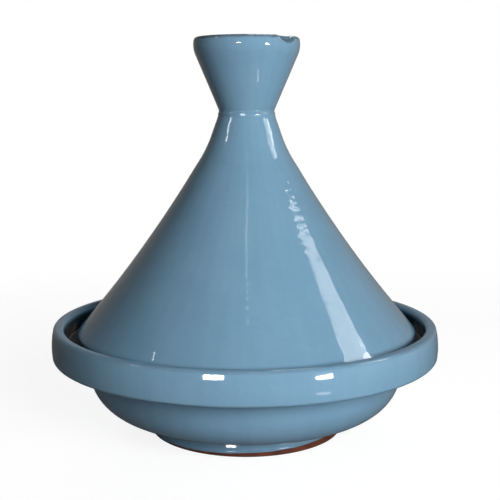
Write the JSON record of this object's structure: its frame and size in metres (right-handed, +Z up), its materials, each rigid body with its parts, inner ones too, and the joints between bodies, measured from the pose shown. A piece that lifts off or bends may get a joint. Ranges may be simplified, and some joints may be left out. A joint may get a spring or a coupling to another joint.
{
  "type": "tagine pot",
  "caption": "Glazed earthenware cooking dish with a stepped upright rim and a tall conical lid that lifts off by a flared, notched cup-shaped knob.",
  "frame": {"origin": "centre of the ring of contact under the foot ring, on the table", "axes": "+Z up along the turning axis, -Y towards the cook, +X to the cook's right"},
  "size_m": [0.2999, 0.2998, 0.3033],
  "materials": {
    "terracotta": "bare fired red-brown clay, matt",
    "blue_glaze": "glossy blue-grey glaze, thinner and browner on edges"
  },
  "bodies": {
    "dish": {"dish_bowl": "terracotta", "dish_foot_ring": "terracotta", "dish_glaze": "blue_glaze"},
    "lid": {"lid_cone": "terracotta", "lid_knob": "terracotta", "lid_glaze_outside": "blue_glaze", "lid_glaze_inside": "blue_glaze"}
  },
  "joints": [
    {"name": "lid_lift", "type": "slide", "parent": "dish", "child": "lid", "axis": [0, 0, 1], "range_m": [0, 0.15]}
  ]
}
